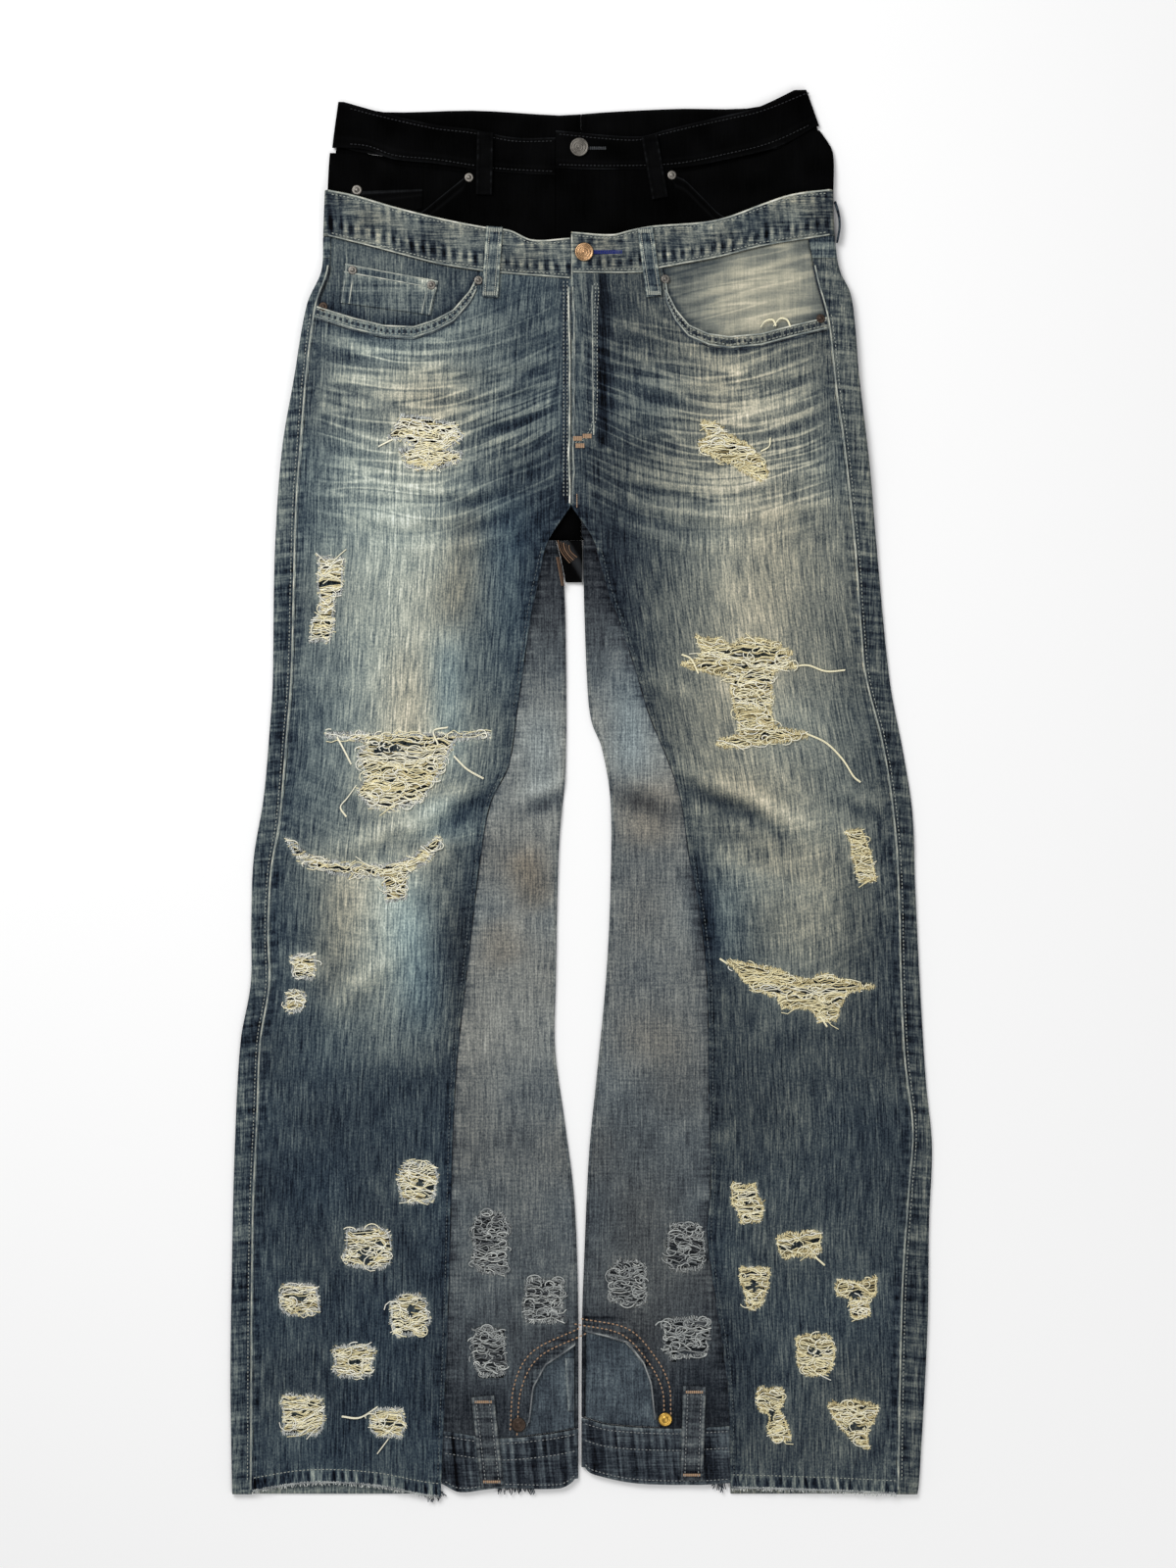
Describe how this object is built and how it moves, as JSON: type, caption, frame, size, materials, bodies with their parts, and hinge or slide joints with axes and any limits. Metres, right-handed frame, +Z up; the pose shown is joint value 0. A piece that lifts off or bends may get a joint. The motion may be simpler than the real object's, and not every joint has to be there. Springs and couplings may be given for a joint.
{
  "type": "ripped jeans laid flat",
  "caption": "Ripped jeans laid flat, sewn from three pairs: distressed blue legs, a black waist inside, and inner leg panels from an upside-down pair with its waistband at the hem.",
  "frame": {"origin": "on the surface it lies on, under the middle of the garment", "axes": "+Z up from the surface, +Y towards the waist, +X towards the wearer's left"},
  "size_m": [0.5889, 1.1808, 0.0141],
  "materials": {
    "blue_denim": "washed blue slub denim, faded thighs, whiskers, frayed cream rips, light top-stitching",
    "bleached_denim": "bleached pale denim on the wearer's left pocket facing",
    "grey_blue_denim": "grey-blue washed denim with tan double top-stitching and small grey rips",
    "black_denim": "deep black denim with black top-stitching",
    "copper_button": "worn warm copper tack button with a plain raised pattern",
    "steel_button": "aged steel tack button with plain rings",
    "steel_rivet": "small aged steel rivet",
    "dark_rivet": "small darkened rivet",
    "brass_rivet": "polished brass rivet"
  },
  "bodies": {
    "root": {"front_r": "blue_denim", "back_r": "blue_denim", "yoke_r": "blue_denim", "waistband_r": "blue_denim", "pocket_facing_r": "blue_denim", "black_front_r": "black_denim", "black_back_r": "black_denim", "black_waistband_r": "black_denim", "black_pocket_facing_r": "black_denim", "insert_front_r": "grey_blue_denim", "insert_back_r": "grey_blue_denim", "insert_waistband_r": "grey_blue_denim", "insert_pocket_facing_r": "grey_blue_denim", "front_l": "blue_denim", "back_l": "blue_denim", "yoke_l": "blue_denim", "waistband_l": "blue_denim", "pocket_facing_l": "bleached_denim", "black_front_l": "black_denim", "black_back_l": "black_denim", "black_waistband_l": "black_denim", "black_pocket_facing_l": "black_denim", "insert_front_l": "grey_blue_denim", "insert_back_l": "grey_blue_denim", "insert_waistband_l": "grey_blue_denim", "insert_pocket_facing_l": "grey_blue_denim", "coin_pocket": "blue_denim", "fly_facing": "blue_denim", "black_coin_pocket": "black_denim", "black_seat": "black_denim", "insert_coin_pocket": "grey_blue_denim", "belt_loop_r": "blue_denim", "belt_loop_l": "blue_denim", "black_belt_loop_r": "black_denim", "black_belt_loop_l": "black_denim", "insert_belt_loop_r": "grey_blue_denim", "insert_belt_loop_l": "grey_blue_denim", "belt_loop_side_l": "blue_denim", "waist_button": "copper_button", "rivet_mouth_in_r": "steel_rivet", "rivet_mouth_out_r": "dark_rivet", "rivet_mouth_in_l": "steel_rivet", "rivet_mouth_out_l": "dark_rivet", "rivet_coin_out": "steel_rivet", "rivet_coin_in": "steel_rivet", "black_waist_button": "steel_button", "black_rivet_mouth_r": "steel_rivet", "black_rivet_mouth_l": "steel_rivet", "black_rivet_coin": "steel_rivet", "insert_rivet_r": "dark_rivet", "insert_rivet_l": "brass_rivet"}
  },
  "joints": []
}
